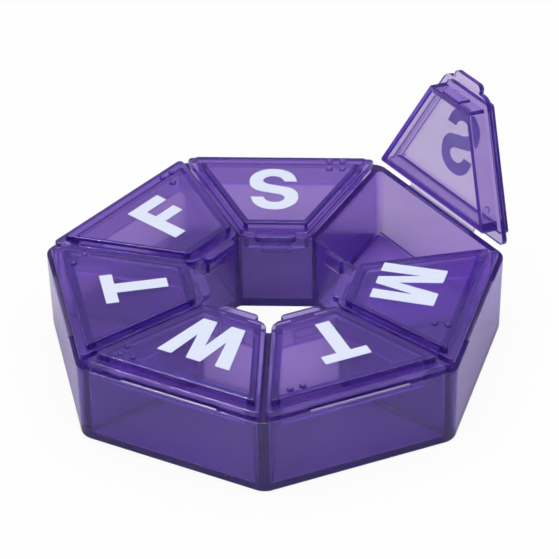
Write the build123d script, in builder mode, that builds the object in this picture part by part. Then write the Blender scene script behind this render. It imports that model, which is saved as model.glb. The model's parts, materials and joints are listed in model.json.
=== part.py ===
from build123d import *
import os
from math import cos, pi, sin, tan

# A weekly pill organizer. A seven-sided ring tray holds one compartment for each day round an open
# middle. Each compartment has its own lid, joined to the tray's outer rim by a thin bending film.
# Millimetres, +Z up. The origin is the ring's centre on the surface that the tray stands on, and one
# corner of the ring points along -Y.

# Driving dimensions of the whole
DAYS = ["saturday", "friday", "thursday", "wednesday", "tuesday", "monday", "sunday"]
FIRST_AZIMUTH = 90.0
OPEN_DAY = "sunday"
OPEN_ANGLE = 102.1
LID_EDGE = 40.0

# The tray
RIM_HEIGHT = 17.0
RIM_LEDGE = 0.78
OUTER_DRAFT = 0.63
WALL = 1.34
INNER_WALL = 1.1
FLOOR = 1.4
DIVIDER = 1.3
HOLE_APOTHEM = 15.3
HOLE_DRAFT = 0.5
TRAY_CORNER = 3.6
HOLE_CORNER = 1.2
FOOT_ROUND = 0.6
RIM_ROUND = 0.25
COMPARTMENT_CORNER = 0.9
COMPARTMENT_TAPER = 0.5
FLOOR_ROUND = 0.6

# The lids, measured with the lid shut
LID_GAP = 0.5
FLANGE_THICKNESS = 1.28
FLANGE_SIDE_GAP = 0.52
FLANGE_INNER = 14.6
FLANGE_OUTER_CORNER = 0.9
FLANGE_INNER_CORNER = 2.8
PLATEAU_RISE = 1.39
PLATEAU_OUTER = 39.84
PLATEAU_INNER = 16.3
PLATEAU_SIDE_GAP = 1.4
PLATEAU_OUTER_CORNER = 0.5
PLATEAU_INNER_CORNER = 0.9
LID_SKIN = 1.3
LID_ROUND = 0.3
LID_UNDER_ROUND = 0.15
SKIRT_DEPTH = 3.8
SKIRT_OUTER = 39.2
SKIRT_INNER = 17.0
SKIRT_SIDE_GAP = 1.63
SKIRT_WALL = 1.2
SKIRT_CORNER = 0.5
HOLLOW_CORNER = 0.25
SKIRT_ROUND = 0.3

# The finger tab at each lid's inner end
TAB_END = 12.9
TAB_WIDTH = 8.4
TAB_CORNER = 1.2

# The catch: the inner wall jogs towards the hole, and a pad on the lid's skirt drops in behind it
BOSS_WIDTH = 5.0
BOSS_DEPTH = 3.2
BOSS_STAND = 0.7
BOSS_ROUND = 0.3
POCKET_WIDTH = 6.1
POCKET_DEPTH = 3.6
POCKET_CUT = 0.5
PAD_WIDTH = 5.4
PAD_HEIGHT = 3.2
PAD_STAND = 0.5
PAD_ROUND = 0.3
BEAD_WIDTH = 3.4
BEAD_HEIGHT = 0.8
BEAD_STAND = 0.12
BEAD_DROP = 1.5

# The day marks, raised as dots: the digit's dots in a cell of two columns and two rows
DOT_DIAMETER = 1.45
DOT_HEIGHT = 0.62
DOT_ROUND = 0.58
DOT_SPACING = 2.65
CELL_X = 10.1
CELL_Y = 38.1
DIGIT_DOTS = {
    "sunday": [1],
    "monday": [1, 2],
    "tuesday": [1, 4],
    "wednesday": [1, 4, 5],
    "thursday": [1, 5],
    "friday": [1, 2, 4],
    "saturday": [1, 2, 4, 5],
}

# The hinge film: one leaf on the rim and one under the flange, joined at a fold on the hinge line
FILM_LENGTH = 20.8
FILM_THICKNESS = 0.21
FILM_LEAF = 1.2

# Values worked out from those above
SIDES = len(DAYS)
HALF_ANGLE = pi / SIDES
LID_APOTHEM = LID_EDGE / (2 * tan(HALF_ANGLE))
RIM_APOTHEM = LID_APOTHEM + RIM_LEDGE
FLANGE_BOTTOM = RIM_HEIGHT + LID_GAP
FLANGE_TOP = FLANGE_BOTTOM + FLANGE_THICKNESS
PLATEAU_TOP = FLANGE_TOP + PLATEAU_RISE
SKIRT_BOTTOM = FLANGE_BOTTOM - SKIRT_DEPTH
HINGE_OUT = RIM_APOTHEM
HINGE_HEIGHT = RIM_HEIGHT + LID_GAP / 2


def side_frame(day):
    """The frame of one side: X to the right seen from the ring's middle, Y outward, Z up."""
    azimuth = (FIRST_AZIMUTH + 360 / SIDES * DAYS.index(day)) * pi / 180
    return Plane(origin=(0, 0, 0), x_dir=(sin(azimuth), -cos(azimuth), 0), z_dir=(0, 0, 1))


def lid_frame(day):
    """The side's frame, turned with the lid about the hinge line where the lid stands open."""
    shut = side_frame(day)
    if day != OPEN_DAY:
        return shut
    turned = shut.moved(Location((0, HINGE_OUT, HINGE_HEIGHT), (-OPEN_ANGLE, 0, 0)))
    return turned.moved(Location((0, -HINGE_OUT, -HINGE_HEIGHT)))


def wedge(outer, inner, side_gap, outer_corner, inner_corner):
    """One day's outline: two parallel ends, and two sides at a gap from the lines between the days."""
    half_outer = outer * tan(HALF_ANGLE) - side_gap / cos(HALF_ANGLE)
    half_inner = inner * tan(HALF_ANGLE) - side_gap / cos(HALF_ANGLE)
    corners = [(-half_outer, outer), (-half_inner, inner), (half_inner, inner), (half_outer, outer)]
    Polygon(*corners, align=None)
    fillet(vertices().group_by(Axis.Y)[-1], outer_corner)
    fillet(vertices().group_by(Axis.Y)[0], inner_corner)


def catch_outline(width, inner, outer, corner):
    """A block across the middle of one side, seen from above, with its corners rounded towards the hole."""
    with Locations((0, inner)):
        Rectangle(width, outer - inner, align=(Align.CENTER, Align.MIN))
    fillet(vertices().group_by(Axis.Y)[0], corner)


def make_boss(day):
    """The outside of the wall's jog: a block on the hole side with a rounded foot."""
    with BuildPart() as boss:
        with BuildSketch(side_frame(day).offset(RIM_HEIGHT - BOSS_DEPTH)):
            catch_outline(BOSS_WIDTH, HOLE_APOTHEM - BOSS_STAND, HOLE_APOTHEM + INNER_WALL / 2, BOSS_ROUND)
        extrude(amount=BOSS_DEPTH)
        fillet(boss.faces().sort_by(Axis.Z)[0].edges(), BOSS_ROUND / 2)
    return boss.part


def heptagon(apothem, corner):
    """The ring's outline at one height, with a corner along -Y."""
    RegularPolygon(apothem, SIDES, major_radius=False, rotation=-90)
    fillet(vertices(), corner)


# Tray: outer walls, floor, inner walls round the hole, and a divider at each corner
with BuildPart() as tray:
    with BuildSketch(Plane.XY):
        heptagon(RIM_APOTHEM - OUTER_DRAFT, TRAY_CORNER)
    with BuildSketch(Plane.XY.offset(RIM_HEIGHT)):
        heptagon(RIM_APOTHEM, TRAY_CORNER)
    loft(ruled=True)
    fillet(tray.faces().sort_by(Axis.Z)[0].edges(), FOOT_ROUND)
    with BuildSketch(Plane.XY):
        heptagon(HOLE_APOTHEM + HOLE_DRAFT, HOLE_CORNER)
    with BuildSketch(Plane.XY.offset(RIM_HEIGHT)):
        heptagon(HOLE_APOTHEM, HOLE_CORNER)
    loft(ruled=True, mode=Mode.SUBTRACT)
    for day in DAYS:
        with BuildSketch(side_frame(day).offset(RIM_HEIGHT)):
            wedge(
                RIM_APOTHEM - WALL,
                HOLE_APOTHEM + INNER_WALL,
                DIVIDER / 2,
                COMPARTMENT_CORNER,
                COMPARTMENT_CORNER,
            )
        extrude(amount=FLOOR - RIM_HEIGHT, taper=COMPARTMENT_TAPER, mode=Mode.SUBTRACT)
    compartment_floors = tray.faces().filter_by(Plane.XY).group_by(Axis.Z)[1]
    fillet(compartment_floors.edges(), FLOOR_ROUND)
    for day in DAYS:
        add(make_boss(day))
        pocket_face = HOLE_APOTHEM + INNER_WALL - POCKET_CUT
        with BuildSketch(side_frame(day).offset(RIM_HEIGHT)):
            catch_outline(POCKET_WIDTH, pocket_face, HOLE_APOTHEM + 2 * INNER_WALL, POCKET_CUT / 2)
        extrude(amount=-POCKET_DEPTH, mode=Mode.SUBTRACT)
    fillet(tray.faces().sort_by(Axis.Z)[-1].edges(), RIM_ROUND)


def digit_dots(day):
    """The day's digit as dots in the corner of the plateau."""
    places = {
        1: (CELL_X, CELL_Y),
        2: (CELL_X, CELL_Y - DOT_SPACING),
        4: (CELL_X + DOT_SPACING, CELL_Y),
        5: (CELL_X + DOT_SPACING, CELL_Y - DOT_SPACING),
    }
    with Locations(*[places[dot] for dot in DIGIT_DOTS[day]]):
        Circle(DOT_DIAMETER / 2)


def make_lid(day):
    """One lid: flange with finger tab, raised plateau, and a skirt that drops into the compartment."""
    frame = lid_frame(day)
    up = Axis(frame.origin, frame.z_dir)
    with BuildPart() as lid:
        with BuildSketch(frame.offset(FLANGE_BOTTOM)):
            wedge(
                LID_APOTHEM,
                FLANGE_INNER,
                FLANGE_SIDE_GAP,
                FLANGE_OUTER_CORNER,
                FLANGE_INNER_CORNER,
            )
        extrude(amount=FLANGE_THICKNESS)
        with BuildSketch(frame.offset(FLANGE_BOTTOM)):
            with Locations((0, TAB_END)):
                Rectangle(TAB_WIDTH, PLATEAU_INNER - TAB_END, align=(Align.CENTER, Align.MIN))
            fillet(vertices().group_by(Axis.Y)[0], TAB_CORNER)
        extrude(amount=FLANGE_THICKNESS)
        fillet(lid.faces().sort_by(up)[-1].edges(), LID_ROUND)
        fillet(lid.faces().sort_by(up)[0].edges(), LID_UNDER_ROUND)
        with BuildSketch(frame.offset(FLANGE_BOTTOM)):
            wedge(
                PLATEAU_OUTER,
                PLATEAU_INNER,
                PLATEAU_SIDE_GAP,
                PLATEAU_OUTER_CORNER,
                PLATEAU_INNER_CORNER,
            )
        extrude(amount=PLATEAU_TOP - FLANGE_BOTTOM)
        fillet(lid.faces().sort_by(up)[-1].edges(), LID_ROUND)
        with BuildSketch(frame.offset(SKIRT_BOTTOM)):
            wedge(SKIRT_OUTER, SKIRT_INNER, SKIRT_SIDE_GAP, SKIRT_CORNER, SKIRT_CORNER)
        extrude(amount=SKIRT_DEPTH)
        with BuildSketch(frame.offset(SKIRT_BOTTOM)):
            wedge(
                SKIRT_OUTER - SKIRT_WALL,
                SKIRT_INNER + SKIRT_WALL,
                SKIRT_SIDE_GAP + SKIRT_WALL,
                HOLLOW_CORNER,
                HOLLOW_CORNER,
            )
        extrude(amount=PLATEAU_TOP - LID_SKIN - SKIRT_BOTTOM, mode=Mode.SUBTRACT)
        pad_face = SKIRT_INNER - PAD_STAND
        with BuildSketch(frame.offset(SKIRT_BOTTOM)):
            catch_outline(PAD_WIDTH, pad_face, SKIRT_INNER + SKIRT_WALL / 2, PAD_ROUND)
        extrude(amount=PAD_HEIGHT)
        fillet(lid.faces().sort_by(up)[0].edges(), SKIRT_ROUND)
        bead_middle = frame.from_local_coords((0, pad_face, FLANGE_BOTTOM - BEAD_DROP))
        with BuildSketch(Plane(origin=bead_middle, x_dir=frame.x_dir, z_dir=-frame.y_dir)):
            SlotOverall(BEAD_WIDTH, BEAD_HEIGHT)
        extrude(amount=BEAD_STAND)
        with BuildSketch(frame.offset(PLATEAU_TOP)):
            digit_dots(day)
        extrude(amount=DOT_HEIGHT)
        fillet(edges().filter_by(GeomType.CIRCLE).group_by(up)[-1], DOT_ROUND)
    lid.part.label = f"lid_{day}"
    return lid.part


def make_hinge(day):
    """One hinge film: a leaf on the rim, a fold on the hinge line, and a leaf under the flange."""
    side = side_frame(day)
    opening = OPEN_ANGLE if day == OPEN_DAY else 0
    fold_radius = LID_GAP / 2
    leaf_middle = fold_radius - FILM_THICKNESS / 2
    end = side.from_local_coords((-FILM_LENGTH / 2, HINGE_OUT, HINGE_HEIGHT))
    with BuildPart() as hinge:
        with BuildSketch(Plane(origin=end, x_dir=side.y_dir, z_dir=side.x_dir)):
            Circle(fold_radius)
            with Locations((-FILM_LEAF / 2, -leaf_middle)):
                Rectangle(FILM_LEAF, FILM_THICKNESS)
            with Locations(Location((0, 0), -opening) * Location((-FILM_LEAF / 2, leaf_middle))):
                Rectangle(FILM_LEAF, FILM_THICKNESS)
        extrude(amount=FILM_LENGTH)
    hinge.part.label = f"hinge_{day}"
    return hinge.part


tray.part.label = "tray"
pieces = [tray.part] + [make_lid(day) for day in DAYS] + [make_hinge(day) for day in DAYS]
os.makedirs("parts", exist_ok=True)
for piece in pieces:
    export_step(piece, f"parts/{piece.label}.step")
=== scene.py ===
import json
import math

import bmesh
import bpy
from bpy.props import FloatProperty, FloatVectorProperty, PointerProperty
from bpy.types import Operator, Panel, PropertyGroup
from mathutils import Matrix, Vector


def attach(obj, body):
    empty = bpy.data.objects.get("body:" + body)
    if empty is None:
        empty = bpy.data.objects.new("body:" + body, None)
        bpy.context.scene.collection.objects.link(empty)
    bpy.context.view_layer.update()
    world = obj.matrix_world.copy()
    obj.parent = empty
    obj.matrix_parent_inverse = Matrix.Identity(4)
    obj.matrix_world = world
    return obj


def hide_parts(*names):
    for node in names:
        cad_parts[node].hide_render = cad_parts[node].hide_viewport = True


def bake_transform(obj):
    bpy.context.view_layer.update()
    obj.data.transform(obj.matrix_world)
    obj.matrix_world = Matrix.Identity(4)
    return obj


bl_info = {
    "name": "Weekly Pill Organizer",
    "version": (1, 0, 0),
    "blender": (4, 5, 0),
    "location": "3D View > Sidebar > Pill Organizer",
    "description": "Finishes the seven-day pill organizer: violet plastic, hinge films and day letters",
    "category": "Object",
}

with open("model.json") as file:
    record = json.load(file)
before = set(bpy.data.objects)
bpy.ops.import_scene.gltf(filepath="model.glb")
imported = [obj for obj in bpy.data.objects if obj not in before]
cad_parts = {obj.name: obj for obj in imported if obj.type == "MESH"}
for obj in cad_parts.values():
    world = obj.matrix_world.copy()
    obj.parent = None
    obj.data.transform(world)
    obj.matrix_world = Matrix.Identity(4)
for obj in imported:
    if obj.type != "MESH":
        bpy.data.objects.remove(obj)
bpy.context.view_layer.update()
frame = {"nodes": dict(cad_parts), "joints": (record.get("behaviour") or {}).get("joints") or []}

# Sizes that the construction gives, in millimetres
MM = 0.001
LID_GAP = 0.5
PLATEAU_TOP = 20.17
FILM_LENGTH = 20.8

# How finely a film is divided along its length and round its fold
FILM_STEPS = 24
FOLD_STEPS = 16

# How strongly plastic bends light, and the faint violet scatter inside the mouldings
PLASTIC_IOR = 1.5
VEIL_WEIGHT = 0.18
VEIL_TINT = (0.33, 0.12, 0.92)

# Lowest and highest roughness across each kind of surface
TRAY_ROUGHNESS = (0.1, 0.16)
LID_ROUGHNESS = (0.07, 0.12)
FILM_ROUGHNESS = (0.05, 0.2)
INK_ROUGHNESS = (0.35, 0.5)

# The film's clear leaves and its milkier fold: colour, and the share of light that goes through
LEAF_COLOUR = (0.86, 0.80, 0.95)
LEAF_CLEARNESS = 1.0
FOLD_COLOUR = (0.56, 0.44, 0.84)
FOLD_CLEARNESS = 0.55

# How dark the ink's mottle goes
MOTTLE_SHADE = 0.94

# The floor: half its width and its drop under the tray in metres, and the plain white mixed in for the eye
FLOOR_HALF = 3.0
FLOOR_DROP = 0.0001
WHITE_SHARE = 0.93

# Strength of the world's light at the horizon and overhead
HORIZON_STRENGTH = 0.1
OVERHEAD_STRENGTH = 0.75

# The photograph's camera as fitted to its outlines: lens in millimetres, place in metres, turn in radians
CAMERA_LENS = 326.8
CAMERA_PLACE = (0.04337, -0.81790, 0.59617)
CAMERA_TURN = (0.9558, 0.0160, 0.0400)

# The letters: outlines in millimetres from the middle of the foot, with the letter's top towards +Y
LETTER_HEIGHT = 12.9
S_HEIGHT = 14.4
STEM = 3.0
BAR = 2.55

# Day by day: the letter, and in millimetres how far right of the lid's middle and how far out its foot is
DAY_LETTERS = {
    "saturday": ("S", -0.85, 20.95),
    "friday": ("F", 0.35, 22.1),
    "thursday": ("T", 0.0, 21.0),
    "wednesday": ("W", -0.5, 20.6),
    "tuesday": ("T", -1.6, 20.6),
    "monday": ("M", -1.6, 20.9),
    "sunday": ("S", -0.85, 20.95),
}


class OrganizerSettings(PropertyGroup):
    """Sizes and colours of the finish."""

    tray_tint: FloatVectorProperty(
        name="Tray tint",
        description="Colour that one wall of the tray lets through",
        subtype="COLOR",
        size=3,
        default=(0.78, 0.69, 0.875),
        min=0.0,
        max=1.0,
    )
    lid_tint: FloatVectorProperty(
        name="Lid tint",
        description="Colour that one wall of a lid lets through",
        subtype="COLOR",
        size=3,
        default=(0.975, 0.99, 0.93),
        min=0.0,
        max=1.0,
    )
    depth_colour: FloatVectorProperty(
        name="Depth colour",
        description="Colour that the plastic turns towards where it is thick",
        subtype="COLOR",
        size=3,
        default=(0.42, 0.15, 0.83),
        min=0.0,
        max=1.0,
    )
    depth_density: FloatProperty(
        name="Depth density",
        description="How fast the colour deepens with thickness, per metre",
        default=400.0,
        min=0.0,
    )
    film_thickness: FloatProperty(
        name="Film thickness",
        description="Thickness of the hinge film",
        default=0.2 * MM,
        unit="LENGTH",
    )
    film_leaf: FloatProperty(
        name="Film leaf",
        description="How far the film reaches onto the rim and under the lid",
        default=1.15 * MM,
        unit="LENGTH",
    )
    ink_colour: FloatVectorProperty(
        name="Ink colour",
        description="Colour of the printed letters",
        subtype="COLOR",
        size=3,
        default=(0.70, 0.75, 0.915),
        min=0.0,
        max=1.0,
    )
    ink_thickness: FloatProperty(
        name="Ink thickness",
        description="How far the printed letters stand up",
        default=0.06 * MM,
        unit="LENGTH",
    )
    floor_colour: FloatVectorProperty(
        name="Floor colour",
        description="Colour of the floor that the organizer stands on",
        subtype="COLOR",
        size=3,
        default=(0.82, 0.82, 0.82),
        min=0.0,
        max=1.0,
    )


# Places on the object

class Side:
    """One day's side of the ring: its hinge line, and its own directions."""

    def __init__(self, day):
        joint = next(j for j in frame["joints"] if j["child"] == f"lid_{day}")
        hinge = Vector(joint["pos_m"])
        self.day = day
        self.body = joint["child"]
        self.hinge = hinge
        self.out = Vector((hinge.x, hinge.y, 0)).normalized()
        self.right = Vector((self.out.y, -self.out.x, 0))
        self.opening = math.radians(-joint["range_deg"][0])

    def shut_matrix(self):
        """Turns millimetres right, out and up from the ring's middle into a place on the shut lid."""
        axes = Matrix((self.right, self.out, Vector((0, 0, 1)))).transposed()
        return axes.to_4x4() @ Matrix.Scale(MM, 4)

    def turn(self):
        """The lid's turn about its hinge line from shut to how it stands at rest."""
        swing = Matrix.Rotation(-self.opening, 4, self.right)
        return Matrix.Translation(self.hinge) @ swing @ Matrix.Translation(-self.hinge)


SIDES = [Side(day) for day in DAY_LETTERS]


def add_piece(mesh, name, *materials):
    """Links a finished mesh as a piece with its materials."""
    piece = bpy.data.objects.new(name, mesh)
    bpy.context.scene.collection.objects.link(piece)
    for material in materials:
        mesh.materials.append(material)
    return piece


# Shader building

def new_material(name):
    """An empty material and its node tree, with the output node in place."""
    material = bpy.data.materials.new(name)
    material.use_nodes = True
    tree = material.node_tree
    tree.nodes.clear()
    output = tree.nodes.new("ShaderNodeOutputMaterial")
    return material, tree, output


def new_group(name, inputs, outputs):
    """A shader node group: number inputs with their defaults, one vector input, and number outputs."""
    group = bpy.data.node_groups.new(name, "ShaderNodeTree")
    for socket, default in inputs.items():
        made = group.interface.new_socket(socket, in_out="INPUT", socket_type="NodeSocketFloat")
        made.default_value = default
    group.interface.new_socket("Vector", in_out="INPUT", socket_type="NodeSocketVector")
    for socket in outputs:
        group.interface.new_socket(socket, in_out="OUTPUT", socket_type="NodeSocketFloat")
    return group, group.nodes.new("NodeGroupInput"), group.nodes.new("NodeGroupOutput")


def moulded_surface_group():
    """Long soft swells from the mould and fine orange peel, as one height and one roughness mask."""
    name = "Moulded surface"
    if name in bpy.data.node_groups:
        return bpy.data.node_groups[name]
    group, inputs, outputs = new_group(
        name,
        {"Swell scale": 90.0, "Peel scale": 900.0, "Peel share": 0.15},
        ["Height", "Mask"],
    )
    swell = group.nodes.new("ShaderNodeTexNoise")
    swell.inputs["Detail"].default_value = 1.0
    peel = group.nodes.new("ShaderNodeTexNoise")
    peel.inputs["Detail"].default_value = 2.0
    mixed = group.nodes.new("ShaderNodeMath")
    mixed.operation = "MULTIPLY_ADD"
    links = group.links
    links.new(inputs.outputs["Vector"], swell.inputs["Vector"])
    links.new(inputs.outputs["Vector"], peel.inputs["Vector"])
    links.new(inputs.outputs["Swell scale"], swell.inputs["Scale"])
    links.new(inputs.outputs["Peel scale"], peel.inputs["Scale"])
    links.new(peel.outputs["Fac"], mixed.inputs[0])
    links.new(inputs.outputs["Peel share"], mixed.inputs[1])
    links.new(swell.outputs["Fac"], mixed.inputs[2])
    links.new(mixed.outputs["Value"], outputs.inputs["Height"])
    links.new(peel.outputs["Fac"], outputs.inputs["Mask"])
    return group


def add_ramp(tree, value, low, high):
    """A Map Range from a mask to a plain range of values."""
    ramp = tree.nodes.new("ShaderNodeMapRange")
    ramp.inputs["To Min"].default_value = low
    ramp.inputs["To Max"].default_value = high
    tree.links.new(value, ramp.inputs["Value"])
    return ramp.outputs["Result"]


def add_surface(tree, shader, swell_scale, bump_height, roughness):
    """Places the moulded surface in a material: bump and roughness."""
    place = tree.nodes.new("ShaderNodeTexCoord")
    surface = tree.nodes.new("ShaderNodeGroup")
    surface.node_tree = moulded_surface_group()
    surface.inputs["Swell scale"].default_value = swell_scale
    bump = tree.nodes.new("ShaderNodeBump")
    bump.inputs["Strength"].default_value = 1.0
    bump.inputs["Distance"].default_value = bump_height
    tree.links.new(place.outputs["Object"], surface.inputs["Vector"])
    tree.links.new(surface.outputs["Height"], bump.inputs["Height"])
    tree.links.new(bump.outputs["Normal"], shader.inputs["Normal"])
    rough = add_ramp(tree, surface.outputs["Mask"], *roughness)
    tree.links.new(rough, shader.inputs["Roughness"])
    return surface


def clear_plastic(name, look, tint, roughness):
    """Clear violet moulding: tinted walls that deepen in colour where the plastic is thick."""
    material, tree, output = new_material(name)
    shader = tree.nodes.new("ShaderNodeBsdfPrincipled")
    shader.inputs["Base Color"].default_value = (*tint, 1.0)
    shader.inputs["Transmission Weight"].default_value = 1.0
    shader.inputs["IOR"].default_value = PLASTIC_IOR
    # the faint scatter in the plastic, which veils what is behind it in violet
    shader.inputs["Sheen Weight"].default_value = VEIL_WEIGHT
    shader.inputs["Sheen Roughness"].default_value = 1.0
    shader.inputs["Sheen Tint"].default_value = (*VEIL_TINT, 1.0)
    add_surface(tree, shader, swell_scale=90.0, bump_height=0.02 * MM, roughness=roughness)
    inside = tree.nodes.new("ShaderNodeVolumeAbsorption")
    inside.inputs["Color"].default_value = (*look.depth_colour, 1.0)
    inside.inputs["Density"].default_value = look.depth_density
    tree.links.new(shader.outputs["BSDF"], output.inputs["Surface"])
    tree.links.new(inside.outputs["Volume"], output.inputs["Volume"])
    return material


def film_plastic(name, colour, clear):
    """Thin hinge film: a colour, and the share of light that it lets through."""
    material, tree, output = new_material(name)
    shader = tree.nodes.new("ShaderNodeBsdfPrincipled")
    shader.inputs["Base Color"].default_value = (*colour, 1.0)
    shader.inputs["Transmission Weight"].default_value = clear
    shader.inputs["IOR"].default_value = PLASTIC_IOR
    add_surface(tree, shader, swell_scale=700.0, bump_height=0.02 * MM, roughness=FILM_ROUGHNESS)
    tree.links.new(shader.outputs["BSDF"], output.inputs["Surface"])
    return material


def letter_ink(colour):
    """White screen ink with a faint mottle."""
    material, tree, output = new_material("letter_ink")
    shader = tree.nodes.new("ShaderNodeBsdfPrincipled")
    surface = add_surface(
        tree,
        shader,
        swell_scale=500.0,
        bump_height=0.004 * MM,
        roughness=INK_ROUGHNESS,
    )
    mottle = tree.nodes.new("ShaderNodeMix")
    mottle.data_type = "RGBA"
    mottle.inputs["A"].default_value = (*colour, 1.0)
    mottle.inputs["B"].default_value = (*(c * MOTTLE_SHADE for c in colour), 1.0)
    tree.links.new(surface.outputs["Mask"], mottle.inputs["Factor"])
    tree.links.new(mottle.outputs["Result"], shader.inputs["Base Color"])
    tree.links.new(shader.outputs["BSDF"], output.inputs["Surface"])
    return material


# Pieces

def assign_material(node, material):
    """Gives a construction node its finished material."""
    node.data.materials.clear()
    node.data.materials.append(material)


def film_mesh(side, thickness, leaf):
    """A strip that runs in over the rim, folds round the hinge line and runs back under the lid."""
    bend = bmesh.new()
    bmesh.ops.create_grid(bend, x_segments=FILM_STEPS, y_segments=1, size=0.5)
    leaf_middle = (LID_GAP * MM - thickness) / 2
    bmesh.ops.scale(bend, vec=(FILM_LENGTH * MM, thickness, 1), verts=bend.verts)
    # the end face stands square across the strip: X along the hinge, Z through the thickness
    bmesh.ops.rotate(bend, matrix=Matrix.Rotation(math.pi / 2, 3, "X"), verts=bend.verts)
    bmesh.ops.translate(bend, vec=(0, -leaf, -leaf_middle), verts=bend.verts)
    end = list(bend.faces)

    def grow(faces, move):
        made = bmesh.ops.extrude_face_region(bend, geom=faces)
        verts = [v for v in made["geom"] if isinstance(v, bmesh.types.BMVert)]
        bmesh.ops.translate(bend, vec=move, verts=verts)
        return [f for f in made["geom"] if isinstance(f, bmesh.types.BMFace)]

    start = grow(end, (0, leaf, 0))
    fold_angle = math.pi - side.opening
    turned = bmesh.ops.spin(
        bend,
        geom=start,
        cent=(0, 0, 0),
        axis=(1, 0, 0),
        dvec=(0, 0, 0),
        angle=fold_angle,
        steps=FOLD_STEPS,
        use_merge=False,
        use_duplicate=False,
    )
    last = [f for f in turned["geom_last"] if isinstance(f, bmesh.types.BMFace)]
    along = Vector((0, -math.cos(side.opening), math.sin(side.opening)))
    grow(last, along * leaf)
    bmesh.ops.remove_doubles(bend, verts=bend.verts, dist=1e-7)
    bmesh.ops.recalc_face_normals(bend, faces=bend.faces)
    # the faces round the hinge line are the fold, and take the milkier material
    for face in bend.faces:
        spot = face.calc_center_median()
        on_fold = spot.y > 0 and math.hypot(spot.y, spot.z) < 0.51 * LID_GAP * MM
        face.material_index = 1 if on_fold else 0
    axes = Matrix((side.right, side.out, Vector((0, 0, 1)))).transposed().to_4x4()
    bend.transform(Matrix.Translation(side.hinge) @ axes)
    mesh = bpy.data.meshes.new(f"film_{side.day}")
    bend.to_mesh(mesh)
    bend.free()
    return mesh


def letter_outline(letter):
    """A letter's outline from the middle of its foot in millimetres, and which of its points are sharp."""
    top = LETTER_HEIGHT
    if letter == "S":
        half = [(4.62, 2.8), (3.3, 5.75), (0.0, 7.2), (-3.65, 6.0), (-5.03, 2.85), (-3.9, 0.0)]
        half += [(-1.0, -1.2), (1.85, -2.25), (2.3, -3.1), (1.5, -4.3), (0.1, -4.63)]
        half += [(-1.4, -3.95), (-2.05, -2.75)]
        whole = half + [(-x, -y) for x, y in half]
        return [(x, y + S_HEIGHT / 2) for x, y in whole], (0, 12, 13, 25)
    if letter == "T":
        half, stem = 4.8, STEM / 2
        corners = [(-stem, 0), (-stem, top - BAR), (-half, top - BAR), (-half, top)]
        corners += [(-x, y) for x, y in reversed(corners)]
    elif letter == "F":
        left, right, arm = -4.3, -1.3, 3.9
        corners = [(left, 0), (left, top), (4.5, top), (4.5, top - BAR), (right, top - BAR)]
        corners += [(right, 7.95), (arm, 7.95), (arm, 5.45), (right, 5.45), (right, 0)]
    elif letter == "M":
        half = [(-1.15, 0), (-3.2, 8.2), (-3.1, 0), (-6.0, 0), (-6.1, top), (-1.9, top)]
        corners = half + [(0, 4.4)] + [(-x, y) for x, y in reversed(half)]
    else:
        half = [(-1.6, 0), (-4.6, 0), (-7.95, top), (-4.8, top), (-3.15, 5.1), (-1.57, top)]
        corners = [(0, 7.95)] + half + [(-x, y) for x, y in reversed(half)]
    return corners, range(len(corners))


def letter_mesh(side, letter, right, foot, thickness):
    """A printed letter as a thin raised plate on the plateau, turned with its lid."""
    points, sharp = letter_outline(letter)
    curve = bpy.data.curves.new(f"letter_{side.day}", "CURVE")
    curve.dimensions = "2D"
    curve.fill_mode = "BOTH"
    curve.resolution_u = 10
    line = curve.splines.new("BEZIER")
    line.bezier_points.add(len(points) - 1)
    line.use_cyclic_u = True
    for index, (spot, point) in enumerate(zip(line.bezier_points, points)):
        spot.co = (point[0], point[1], 0)
        kind = "VECTOR" if index in sharp else "AUTO"
        spot.handle_left_type = kind
        spot.handle_right_type = kind
    holder = bpy.data.objects.new("letter_outline", curve)
    bpy.context.scene.collection.objects.link(holder)
    bpy.context.view_layer.update()
    flat = bpy.data.meshes.new_from_object(holder.evaluated_get(bpy.context.evaluated_depsgraph_get()))
    bpy.data.objects.remove(holder)
    bpy.data.curves.remove(curve)
    plate = bmesh.new()
    plate.from_mesh(flat)
    bpy.data.meshes.remove(flat)
    bmesh.ops.remove_doubles(plate, verts=plate.verts, dist=1e-4)
    bmesh.ops.dissolve_limit(plate, angle_limit=0.001, verts=plate.verts, edges=plate.edges)
    # the plate starts a little inside the plateau, so that no gap shows under it
    sunk = 0.02
    raised = bmesh.ops.extrude_face_region(plate, geom=plate.faces[:])
    top = [v for v in raised["geom"] if isinstance(v, bmesh.types.BMVert)]
    bmesh.ops.translate(plate, vec=(0, 0, thickness / MM + sunk), verts=top)
    bmesh.ops.translate(plate, vec=(right, foot, PLATEAU_TOP - sunk), verts=plate.verts)
    bmesh.ops.recalc_face_normals(plate, faces=plate.faces)
    plate.transform(side.turn() @ side.shut_matrix())
    mesh = bpy.data.meshes.new(f"letter_{side.day}")
    plate.to_mesh(mesh)
    plate.free()
    return mesh


class PILL_OT_tray(Operator):
    """Finish the ring tray in clear violet plastic"""

    bl_idname = "pill_organizer.tray"
    bl_label = "Tray"

    def execute(self, context):
        look = context.scene.pill_organizer
        plastic = clear_plastic("tray_clear_violet", look, look.tray_tint, TRAY_ROUGHNESS)
        assign_material(frame["nodes"]["tray"], plastic)
        return {"FINISHED"}


class PILL_OT_lids(Operator):
    """Finish the seven lids in clear violet plastic"""

    bl_idname = "pill_organizer.lids"
    bl_label = "Lids"

    def execute(self, context):
        look = context.scene.pill_organizer
        plastic = clear_plastic("lid_clear_violet", look, look.lid_tint, LID_ROUGHNESS)
        for side in SIDES:
            assign_material(frame["nodes"][side.body], plastic)
        return {"FINISHED"}


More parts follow.
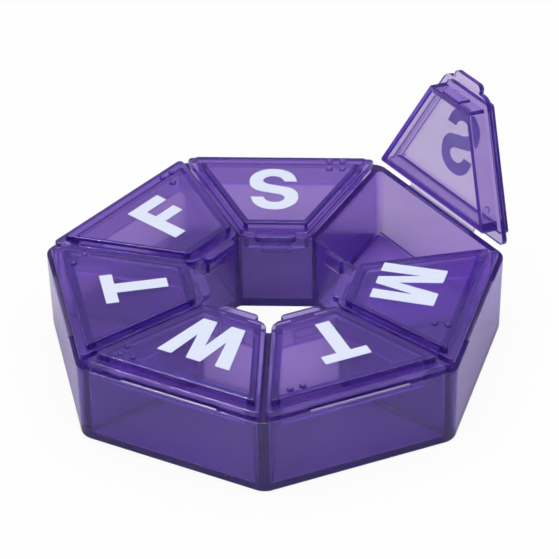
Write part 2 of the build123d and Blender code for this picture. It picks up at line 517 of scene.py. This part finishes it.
class PILL_OT_films(Operator):
    """Make the folded hinge films between the tray and the lids"""

    bl_idname = "pill_organizer.films"
    bl_label = "Hinge films"

    def execute(self, context):
        look = context.scene.pill_organizer
        leaf = film_plastic("hinge_film_clear", LEAF_COLOUR, LEAF_CLEARNESS)
        fold = film_plastic("hinge_film_milky", FOLD_COLOUR, FOLD_CLEARNESS)
        for side in SIDES:
            mesh = film_mesh(side, look.film_thickness, look.film_leaf)
            piece = add_piece(mesh, f"film_{side.day}", leaf, fold)
            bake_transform(piece)
            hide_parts(f"hinge_{side.day}")
        return {"FINISHED"}


class PILL_OT_letters(Operator):
    """Print the day letters on the lids"""

    bl_idname = "pill_organizer.letters"
    bl_label = "Day letters"

    def execute(self, context):
        look = context.scene.pill_organizer
        ink = letter_ink(look.ink_colour)
        for side in SIDES:
            letter, right, foot = DAY_LETTERS[side.day]
            mesh = letter_mesh(side, letter, right, foot, look.ink_thickness)
            piece = add_piece(mesh, f"letter_{side.day}", ink)
            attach(piece, side.body)
        return {"FINISHED"}


class PILL_OT_stage(Operator):
    """Set up the floor, the light and the camera"""

    bl_idname = "pill_organizer.stage"
    bl_label = "Stage"

    def execute(self, context):
        add_floor(context.scene.pill_organizer.floor_colour)
        add_world()
        add_lamps()
        add_camera()
        context.scene.view_settings.view_transform = "Standard"
        # light passes many clear walls, so it may bounce often before it counts as lost
        context.scene.cycles.max_bounces = 32
        context.scene.cycles.transmission_bounces = 32
        context.scene.cycles.glossy_bounces = 12
        return {"FINISHED"}


def add_floor(colour):
    """A pale floor just under the tray, lifted towards white for the eye but still shaded by the tray."""
    ground = bmesh.new()
    bmesh.ops.create_grid(ground, x_segments=1, y_segments=1, size=FLOOR_HALF)
    bmesh.ops.translate(ground, vec=(0, 0, -FLOOR_DROP), verts=ground.verts)
    mesh = bpy.data.meshes.new("floor")
    ground.to_mesh(mesh)
    ground.free()
    material, tree, output = new_material("floor_white")
    plain = tree.nodes.new("ShaderNodeBsdfDiffuse")
    plain.inputs["Color"].default_value = (*colour, 1.0)
    white = tree.nodes.new("ShaderNodeEmission")
    white.inputs["Color"].default_value = (1.0, 1.0, 1.0, 1.0)
    white.inputs["Strength"].default_value = 1.0
    path = tree.nodes.new("ShaderNodeLightPath")
    share = tree.nodes.new("ShaderNodeMath")
    share.operation = "MULTIPLY"
    share.inputs[1].default_value = WHITE_SHARE
    mixed = tree.nodes.new("ShaderNodeMixShader")
    tree.links.new(path.outputs["Is Camera Ray"], share.inputs[0])
    tree.links.new(share.outputs["Value"], mixed.inputs["Fac"])
    tree.links.new(plain.outputs["BSDF"], mixed.inputs[1])
    tree.links.new(white.outputs["Emission"], mixed.inputs[2])
    tree.links.new(mixed.outputs["Shader"], output.inputs["Surface"])
    floor = add_piece(mesh, "floor", material)


def add_world():
    """White light from all round, weaker towards the horizon, so that edges draw thin dark lines."""
    world = bpy.data.worlds.new("studio")
    world.use_nodes = True
    tree = world.node_tree
    light = tree.nodes["Background"]
    light.inputs["Color"].default_value = (1.0, 1.0, 1.0, 1.0)
    # the world's Z runs from 0 at the horizon to 1 overhead
    place = tree.nodes.new("ShaderNodeTexCoord")
    parts = tree.nodes.new("ShaderNodeSeparateXYZ")
    tree.links.new(place.outputs["Generated"], parts.inputs["Vector"])
    strength = add_ramp(tree, parts.outputs["Z"], HORIZON_STRENGTH, OVERHEAD_STRENGTH)
    tree.links.new(strength, light.inputs["Strength"])
    bpy.context.scene.world = world


def add_lamps():
    """A wide soft panel overhead, and two small bright ones that only show as glints on edges and dots."""
    add_lamp("panel_soft", (0.0, 0.0, 0.9), 1.0, 6.0)
    for name, place, size, power in (
        ("glint_top", (0.0, 0.0, 0.9), 0.5, 15.0),
        ("glint_left", (-0.5, -0.35, 0.75), 0.25, 6.0),
    ):
        lamp = add_lamp(name, place, size, power)
        lamp.visible_diffuse = False


def add_lamp(name, place, size, power):
    """A square lamp aimed at the organizer."""
    lamp = bpy.data.lights.new(name, "AREA")
    lamp.size = size
    lamp.energy = power
    holder = bpy.data.objects.new(name, lamp)
    holder.location = place
    aim = Vector((0, 0, 0.01)) - Vector(place)
    holder.rotation_euler = aim.to_track_quat("-Z", "Y").to_euler()
    bpy.context.scene.collection.objects.link(holder)
    return holder


def add_camera():
    """The photograph's view."""
    lens = bpy.data.cameras.new("camera")
    lens.sensor_width = 36.0
    lens.lens = CAMERA_LENS
    lens.clip_start = 0.01
    holder = bpy.data.objects.new("camera", lens)
    holder.location = CAMERA_PLACE
    holder.rotation_euler = CAMERA_TURN
    bpy.context.scene.collection.objects.link(holder)
    bpy.context.scene.camera = holder


class PILL_PT_panel(Panel):
    """The organizer's pieces and settings"""

    bl_label = "Pill Organizer"
    bl_idname = "PILL_PT_panel"
    bl_space_type = "VIEW_3D"
    bl_region_type = "UI"
    bl_category = "Pill Organizer"

    def draw(self, context):
        look = context.scene.pill_organizer
        for name in OrganizerSettings.__annotations__:
            self.layout.prop(look, name)
        for operator in OPERATORS:
            self.layout.operator(operator.bl_idname)


OPERATORS = (PILL_OT_tray, PILL_OT_lids, PILL_OT_films, PILL_OT_letters, PILL_OT_stage)
CLASSES = (OrganizerSettings, *OPERATORS, PILL_PT_panel)


def register():
    for item in CLASSES:
        bpy.utils.register_class(item)
    bpy.types.Scene.pill_organizer = PointerProperty(type=OrganizerSettings)


def unregister():
    del bpy.types.Scene.pill_organizer
    for item in reversed(CLASSES):
        bpy.utils.unregister_class(item)


def main():
    """Registers the add-on and runs its operators in order."""
    register()
    for operator in OPERATORS:
        group, name = operator.bl_idname.split(".")
        getattr(getattr(bpy.ops, group), name)()


if __name__ == "__main__":
    main()
